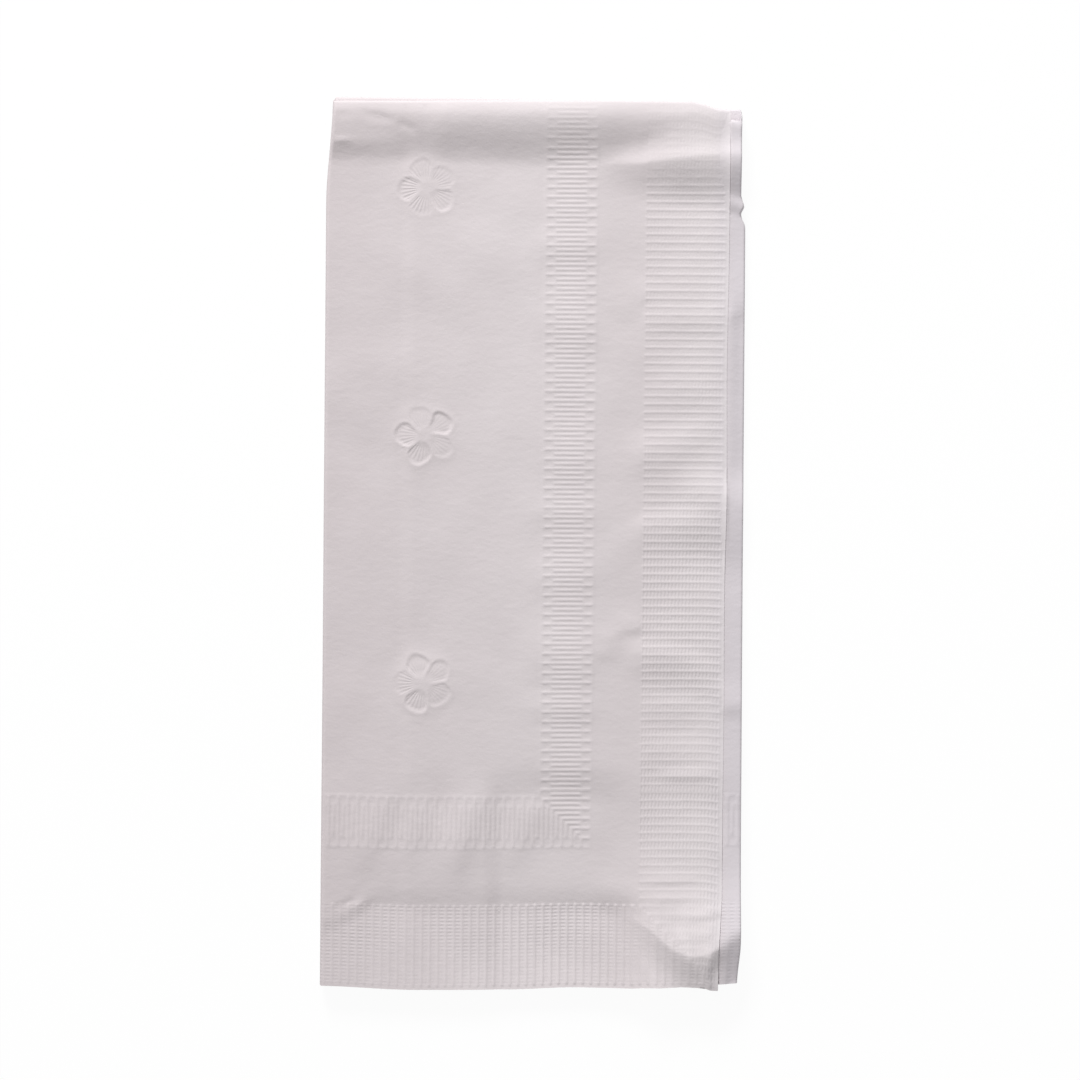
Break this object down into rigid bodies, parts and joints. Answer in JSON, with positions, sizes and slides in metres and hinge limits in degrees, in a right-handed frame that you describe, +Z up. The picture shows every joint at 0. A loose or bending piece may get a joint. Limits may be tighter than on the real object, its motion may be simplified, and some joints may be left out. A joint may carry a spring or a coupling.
{
  "type": "paper napkin",
  "caption": "Folded paper dinner napkin: one tissue sheet with an embossed border and flowers, folded to a flat oblong packet, for wiping hands and mouth.",
  "frame": {"origin": "centre of the packet's bounding box, on the surface it lies on", "axes": "+Z up from the surface, +Y along the packet towards its first fold, +X across it towards the free side edges"},
  "size_m": [0.0958, 0.2032, 0.0048],
  "materials": {
    "tissue_paper": "matte"
  },
  "bodies": {
    "root": {"napkin": "tissue_paper"}
  },
  "joints": []
}
